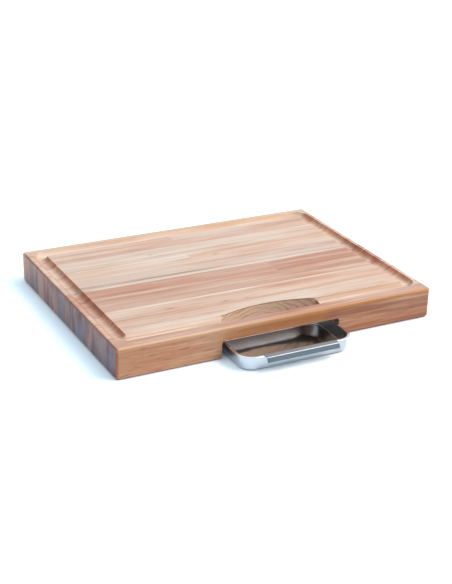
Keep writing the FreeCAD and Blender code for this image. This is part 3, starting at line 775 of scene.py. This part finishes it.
# %% [markdown]
# ## The tray's pan
#
# The pan is pressed from stainless sheet: a flat floor, a round bottom edge, walls that lean out a
# little, and a flat lip. Its section is the same all the way round, so it is one profile carried
# along a rounded rectangle. A solid box with a shell would need many bevels for the same bends.

# %% Paths and bends
CORNER_POINTS = 20
SIDE_POINTS = 24
BEND_POINTS = 8
MERGE_DISTANCE = 1e-7
SHARP_ANGLE = math.radians(35.0)


def rounded_rectangle(half_x, half_y, radius):
    """Points and outward normals round a rectangle: each corner's arc, with straight runs between.

    A corner's point is its centre plus the radius times (cos a, sin a); the runs join arc ends.
    """
    angles = np.linspace(0.0, math.pi / 2, CORNER_POINTS)
    shares = np.linspace(0.0, 1.0, SIDE_POINTS)[1:-1, None]
    centres = np.array(((1, 1), (-1, 1), (-1, -1), (1, -1))) * (half_x - radius, half_y - radius)
    turns = angles[None, :] + np.arange(4)[:, None] * math.pi / 2
    arc_normals = np.stack((np.cos(turns), np.sin(turns)), axis=-1)
    arcs = centres[:, None, :] + radius * arc_normals
    runs = arcs[:, -1:, :] * (1 - shares) + np.roll(arcs, -1, axis=0)[:, :1, :] * shares
    run_normals = np.repeat(arc_normals[:, -1:, :], len(shares), axis=1)
    points = np.concatenate((arcs, runs), axis=1).reshape(-1, 2)
    normals = np.concatenate((arc_normals, run_normals), axis=1).reshape(-1, 2)
    return points, normals


def bend(centre, radius, start, end):
    """An arc of a section about a centre, from one angle to another in degrees."""
    angles = np.radians(np.linspace(start, end, BEND_POINTS))
    return np.array(centre) + radius * np.stack((np.cos(angles), np.sin(angles)), axis=-1)


def mesh_from_grid(name, grid, close_path):
    """Quads over a grid of points (u, v); a path that closes is filled at its first and last rings.

    An open path is a strip carried along, and its two ends are filled instead.
    """
    rows, columns = grid.shape[:2]
    index = np.arange(rows * columns).reshape(rows, columns)
    rings = (index[:, 0], index[:, -1]) if close_path else (index[0, :-1], index[-1, :-1])
    following = np.roll(index, -1, axis=0)
    if not close_path:
        index, following = index[:-1], following[:-1]
    quads = np.stack((index[:, :-1], following[:, :-1], following[:, 1:], index[:, 1:]), axis=-1)
    mesh = bpy.data.meshes.new(name)
    mesh.from_pydata(grid.reshape(-1, 3), [], [*quads.reshape(-1, 4), *rings])
    tidy_faces(mesh)
    return mesh


def tidy_faces(mesh):
    """Merge doubled points and turn all faces outwards."""
    shape = bmesh.new()
    shape.from_mesh(mesh)
    bmesh.ops.remove_doubles(shape, verts=shape.verts, dist=MERGE_DISTANCE)
    bmesh.ops.recalc_face_normals(shape, faces=shape.faces)
    shape.to_mesh(mesh)
    shape.free()


def add_piece(mesh, body, node):
    """Put a mesh into the scene in place of a CAD node, with smooth bends and sharp edges."""
    piece = add_object(mesh.name, mesh)
    mesh.shade_smooth()
    mesh.set_sharp_from_angle(angle=SHARP_ANGLE)
    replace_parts(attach(piece, body), node)
    return piece


print("a corner has", CORNER_POINTS, "points and a bend", BEND_POINTS)

# %% [markdown]
# The section starts on the floor inside, goes up the wall, over the lip and its rounded edge, and
# comes back underneath. Two extra points on the flat floor keep the smooth shading of the bottom
# bend from spreading over it, which a mirror would show at once.

# %% Press the pan
SHEET = 0.0012
PAN_LIP = 0.0038
PAN_CORNER = 0.030
PAN_DRAFT = math.radians(2.0)
PAN_BEND = 0.004
LIP_BEND = 0.0008
FLOOR_MARGIN = 0.002


def pan_section(height):
    """The sheet's section as (inset from the rim's edge, height), from the floor's inside to its underside."""
    run = math.tan(PAN_DRAFT)
    lean = math.degrees(PAN_DRAFT)
    across = 1 / math.cos(PAN_DRAFT)

    def wall(inset, level, radius):
        """Centre of a bend that touches the drafted wall from inside at a level."""
        return inset + (height - level) * run + radius * across, level

    inner_bend = PAN_BEND - SHEET
    inner_inset = PAN_LIP + SHEET * across
    inner_centre = wall(inner_inset, SHEET + inner_bend, inner_bend)
    outer_centre = wall(PAN_LIP, PAN_BEND, PAN_BEND)
    inner_floor = np.array(((inner_centre[0] + FLOOR_MARGIN, SHEET),))
    inner = bend(inner_centre, inner_bend, 270, 180 + lean)
    lip = bend(wall(inner_inset, height - LIP_BEND, -LIP_BEND), LIP_BEND, lean, 90)
    edge = bend((SHEET / 2, height - SHEET / 2), SHEET / 2, 90, 270)
    neck = np.array((wall(PAN_LIP, height - SHEET, 0.0),))
    outer = bend(outer_centre, PAN_BEND, 180 + lean, 270)
    underside = np.array(((outer_centre[0] + FLOOR_MARGIN, 0.0),))
    return np.concatenate((inner_floor, inner, lip, edge, neck, outer, underside))


def sweep_section(section, points, normals, middle):
    """Surface point (u, v): path point u moved inwards by section point v's inset, at v's height."""
    flat = points[:, None, :] - section[None, :, :1] * normals[:, None, :]
    level = np.broadcast_to(section[None, :, 1:], (*flat.shape[:2], 1))
    return np.concatenate((flat, level), axis=-1) + middle


pan_low, pan_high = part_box("tray_pan")
pan_middle = np.array(((pan_low.x + pan_high.x) / 2, (pan_low.y + pan_high.y) / 2, pan_low.z))
pan_half = (pan_high.x - pan_low.x) / 2, (pan_high.y - pan_low.y) / 2
pan_grid = sweep_section(pan_section(pan_high.z - pan_low.z), *rounded_rectangle(*pan_half, PAN_CORNER), pan_middle)
pan_mesh = mesh_from_grid("pan", pan_grid, close_path=True)
pan = add_piece(pan_mesh, "tray", "tray_pan")
print("pan faces:", len(pan_mesh.polygons))

# %% [markdown]
# ## The pull
#
# The pull is a strip of the same sheet, folded once: it lies on the pan's front lip, runs forward
# and turns down, leaning out at its foot so that fingers reach behind it. Its section is carried
# along x, and its short ends are closed. A bevel softens the sheared edges as deburring does.

# %% Fold the pull
PULL_BEND = 0.0012
PULL_LEAN = 22.0
PULL_DEBUR = 0.00018
DEBUR_STEPS = 2
DEBUR_ANGLE = math.radians(50.0)
PULL_STATIONS = 40


def pull_section(low, high):
    """The folded strip's outline as (y, z): along the top, round the bend, down to the foot, and back."""
    sine, cosine = math.sin(math.radians(PULL_LEAN)), math.cos(math.radians(PULL_LEAN))
    outer_bend = PULL_BEND + SHEET
    foot = np.array((low.y, low.z + SHEET * sine))
    inner_foot = foot + SHEET * np.array((cosine, -sine))
    knee = foot[0] + (high.z - foot[1]) * sine / cosine
    centre = (knee + outer_bend * (1 - sine) / cosine, high.z - outer_bend)
    outer = bend(centre, outer_bend, 90, 180 - PULL_LEAN)
    inner = bend(centre, PULL_BEND, 180 - PULL_LEAN, 90)
    rear = np.array(((high.y, high.z - SHEET), (high.y, high.z)))
    return np.concatenate((rear, outer, foot[None], inner_foot[None], inner, rear[:1]))


pull_low, pull_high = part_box("tray_pull")
pull_outline = pull_section(pull_low, pull_high)
pull_grid = np.empty((PULL_STATIONS, len(pull_outline), 3))
pull_grid[..., 0] = np.linspace(pull_low.x, pull_high.x, PULL_STATIONS)[:, None]
pull_grid[..., 1:] = pull_outline[None]
pull_mesh = mesh_from_grid("pull", pull_grid, close_path=False)
pull = add_piece(pull_mesh, "tray", "tray_pull")
debur = pull.modifiers.new("debur", "BEVEL")
debur.width = PULL_DEBUR
debur.segments = DEBUR_STEPS
debur.limit_method = "ANGLE"
debur.angle_limit = DEBUR_ANGLE
print("pull faces:", len(pull_mesh.polygons))

# %% [markdown]
# ## Stainless steel
#
# The pan is polished. Its floor mirrors the hole's wall and the light above it, its walls are satin
# and bluish outside, the blue being a painted reflection in the steel's tones, and painted shade makes
# the inside darker and browner. The pull is brushed along its length, and its top is painted lighter
# than its slate face, a painted reflection. It is the same bare metal each time, so one group draws
# the fine lines and the smudges, and each material sets its roughness and the tones of level faces
# and walls. One sheet has no separate inside, so a mask finds it by the way faces look.

# %% Steel finishes
PAN_HEART = (*pan_middle[:2], (pan_low.z + pan_high.z) / 2)
# painted reflection: the pan's two steel tones are tinted blue like the cool floor and sky
STEEL = (0.66, 0.72, 0.785, 1.0)
FLAT_STEEL = (0.85, 0.9, 0.98, 1.0)
SLATE_STEEL = (0.15, 0.2, 0.245, 1.0)
# painted reflection: the pull's top is a lighter tone than its slate face
PULL_TOP_REFLECTION = (0.3, 0.315, 0.34, 1.0)
SMUDGED = (0.64, 0.655, 0.67, 1.0)
INNER_SHADE = (0.66, 0.62, 0.59, 1.0)
INNER_BLUR = 0.003
LINE_SHARE = 0.35
LINE_HEIGHT = 0.15
WAVE_HEIGHT = 2.0
SMUDGE_SHARE = 0.65
SMUDGE_EDGE = (0.45, 0.75)
SMUDGE_ROUGH = 0.05
UPRIGHT_EDGE = (0.45, 0.85)
STEEL_STRENGTH = 0.2


def build_brushing():
    """Fine lines: noise that is stretched along one axis, slow waves of pressed sheet, and smudges."""
    tree, given, result = new_group("brushed_lines", {
        "Vector": ("Position", "Lines", "Normal"), "Float": ("Smooth", "Rough", "Satin"),
        "Color": ("Level Tone", "Wall Tone"),
    }, {"Color": ("Color",), "Float": ("Roughness", "Height")})
    lines = cloud(tree, given["Position"], given["Lines"], detail=3.0, roughness=0.7)
    waves = cloud(tree, given["Position"], (28.0, 28.0, 28.0), detail=1.0)
    spread = calculate(tree, "SUBTRACT", given["Rough"], given["Smooth"])
    smudge = smooth_step(tree, cloud(tree, given["Position"], (17.0, 17.0, 17.0), detail=4.0), *SMUDGE_EDGE)
    share = add_scaled(tree, lines, LINE_SHARE, product(tree, smudge, SMUDGE_SHARE))
    rough = add_scaled(tree, lines, spread, given["Smooth"])
    rough = add_scaled(tree, smudge, SMUDGE_ROUGH, rough)
    level = calculate(tree, "ABSOLUTE", parts_of(tree, given["Normal"])["Z"])
    upright = smooth_step(tree, level, *UPRIGHT_EDGE, 1.0, 0.0)
    rough = add_scaled(tree, upright, given["Satin"], rough)
    metal = mix(tree, upright, given["Level Tone"], given["Wall Tone"])
    height = add_scaled(tree, waves, WAVE_HEIGHT, product(tree, lines, LINE_HEIGHT))
    smudged = mix(tree, share, metal, SMUDGED, "MULTIPLY")
    tree.links.new(smudged, result["Color"])
    tree.links.new(rough, result["Roughness"])
    tree.links.new(height, result["Height"])
    return tree


brushing = build_brushing()


def inside_mask(tree, place, facing):
    """One where a face looks towards the middle of the pan, nought where it looks away."""
    outwards = add_node(tree, "ShaderNodeVectorMath", {0: place, 1: PAN_HEART}, operation="SUBTRACT").outputs[0]
    along = add_node(tree, "ShaderNodeVectorMath", {0: outwards, 1: facing}, operation="DOT_PRODUCT")
    return smooth_step(tree, along.outputs["Value"], -INNER_BLUR, INNER_BLUR, 1.0, 0.0)


def steel_finish(name, level_tone, wall_tone, lines, smooth, rough, satin, depth):
    """Bare steel: strokes to the metre along each axis, roughness, how much more on walls, bump in metres."""
    material, tree, shader, place, facing = new_material(name)
    inputs = {"Position": place, "Lines": lines, "Smooth": smooth, "Rough": rough, "Normal": facing,
              "Satin": satin, "Level Tone": level_tone, "Wall Tone": wall_tone}
    strokes = add_node(tree, "ShaderNodeGroup", inputs, node_tree=brushing).outputs
    shader.inputs["Metallic"].default_value = 1.0
    # painted shade: the pan's inside is darker and browner
    colour = mix(tree, inside_mask(tree, place, facing), strokes["Color"], INNER_SHADE, "MULTIPLY")
    feed_shader(tree, shader, colour, strokes, STEEL_STRENGTH, depth)
    return material


polished = steel_finish("polished_steel", FLAT_STEEL, STEEL, (900.0, 60.0, 900.0), 0.05, 0.13, 0.14, 0.0002)
# the pull's level faces get the lighter tone of the painted reflection
brushed = steel_finish("brushed_steel", PULL_TOP_REFLECTION, SLATE_STEEL, (40.0, 1500.0, 1500.0), 0.2, 0.34, 0.12, 0.0002)
pan.data.materials.append(polished)
pull.data.materials.append(brushed)
print("steel finishes:", [piece.data.materials[0].name for piece in (pan, pull)])

# %% [markdown]
# ## Runners and screws
#
# Two maple strips inside the bay hold the pan's lip in their slots. Their grain runs along y, so a
# Mapping node turns the maple a quarter turn. The screws are plain zinced steel.

# %% Dress the runners and their screws
runner_maple = maple_finish("maple_runner", -OUTSIDE, OUTSIDE, heart=(0.09, -0.05), seed=12.2, pale=PEACH, **PLAIN)
runner_tree = runner_maple.node_tree
runner_figure = next(node for node in runner_tree.nodes if node.type == "GROUP")
for socket in ("Position", "Normal"):
    source = runner_figure.inputs[socket].links[0].from_socket
    turned = add_node(runner_tree, "ShaderNodeMapping", {"Vector": source, "Rotation": (0.0, 0.0, math.pi / 2)})
    runner_tree.links.new(turned.outputs[0], runner_figure.inputs[socket])
screw_steel = steel_finish("screw_steel", STEEL, STEEL, (1200.0, 1200.0, 200.0), 0.25, 0.45, 0.0, 0.0001)
for side in ("left", "right"):
    paint(f"runner_{side}", runner_maple)
    paint(f"runner_screws_{side}", screw_steel)
print("runners and screws dressed")

# %% [markdown]
# ## Floor, light and sky
#
# The photograph has a white ground with a faint cool shadow. The floor is a pale sheet a hair below
# the board. A glow, only for rays from the camera and from metal, lifts it to white. Brighter lamps
# would do that too, but they would bleach the wood. Ambient occlusion takes the glow away close to
# the board and the tray, so their contact shadow stays.

# %% Lay the floor
FLOOR_SIZE = 9.0
FLOOR_LEVEL = -0.0002
FLOOR_TONE = tone(240, 240, 240)
FLOOR_ROUGHNESS = 0.9
FLOOR_GLOW = (0.5, 0.66, 0.77, 1.0)
MIRRORED_GLOW = 0.7
CONTACT_REACH = 0.033


def seen_rays(tree, mirrored_share):
    """One for rays straight from the camera, the share for those by way of metal or glass, else nought."""
    rays = tree.nodes.new("ShaderNodeLightPath").outputs
    mirrored = calculate(tree, "MAXIMUM", rays["Is Glossy Ray"], rays["Is Transmission Ray"])
    return calculate(tree, "MAXIMUM", rays["Is Camera Ray"], product(tree, mirrored, mirrored_share))


floor_mesh = bpy.data.meshes.new("floor")
half = FLOOR_SIZE / 2
floor_corners = np.array(((-half, -half), (half, -half), (half, half), (-half, half)))
floor_mesh.from_pydata(np.insert(floor_corners, 2, FLOOR_LEVEL, axis=1), [], [(0, 1, 2, 3)])
floor = add_object("floor", floor_mesh)
floor_paper, floor_tree, floor_shader, _, _ = new_material("floor_paper")
floor_shader.inputs["Base Color"].default_value = FLOOR_TONE
floor_shader.inputs["Roughness"].default_value = FLOOR_ROUGHNESS
floor_shader.inputs["Emission Color"].default_value = FLOOR_GLOW
open_share = add_node(floor_tree, "ShaderNodeAmbientOcclusion", {"Distance": CONTACT_REACH}).outputs["AO"]
glow = product(floor_tree, seen_rays(floor_tree, MIRRORED_GLOW), open_share)
floor_tree.links.new(glow, floor_shader.inputs["Emission Strength"])
floor_mesh.materials.append(floor_paper)
print("the floor lies", FLOOR_LEVEL * -1000, "mm below the board")

# %% [markdown]
# A cool even sky fills the shade, and the camera and the metal see it white. One large soft lamp to
# the right gives the wood its warm side. More lamps would give more shadows than the one that shows.

# %% Sky and lamp
SKY_TONE = (0.74, 0.87, 1.0, 1.0)
SKY_STRENGTH = 0.45
WHITE = (1.0, 1.0, 1.0, 1.0)
LAMP_PLACE = (4.1, -2.3, 5.2)
LAMP_SIZE = 5.0
LAMP_POWER = 424.0
LAMP_TONE = (1.0, 0.90, 0.80)
world = bpy.data.worlds.new("sky")
bpy.context.scene.world = world
world.use_nodes = True
sky_tree = world.node_tree
sky = sky_tree.nodes["Background"]
sky.inputs["Color"].default_value = SKY_TONE
sky.inputs["Strength"].default_value = SKY_STRENGTH
white = add_node(sky_tree, "ShaderNodeBackground", {"Color": WHITE, "Strength": 1.0})
shares = {0: seen_rays(sky_tree, 1.0), 1: sky.outputs[0], 2: white.outputs[0]}
either = add_node(sky_tree, "ShaderNodeMixShader", shares)
sky_tree.links.new(either.outputs[0], sky_tree.nodes["World Output"].inputs["Surface"])

lamp_data = bpy.data.lights.new("key", "AREA")
lamp_data.size = LAMP_SIZE
lamp_data.energy = LAMP_POWER
lamp_data.color = LAMP_TONE
lamp = add_object("key", lamp_data)
lamp.location = LAMP_PLACE
lamp.rotation_euler = (-Vector(LAMP_PLACE)).to_track_quat("-Z", "Y").to_euler()
bpy.context.scene.view_settings.view_transform = "Standard"
print("lamps:", [lamp.name for lamp in bpy.data.lights])
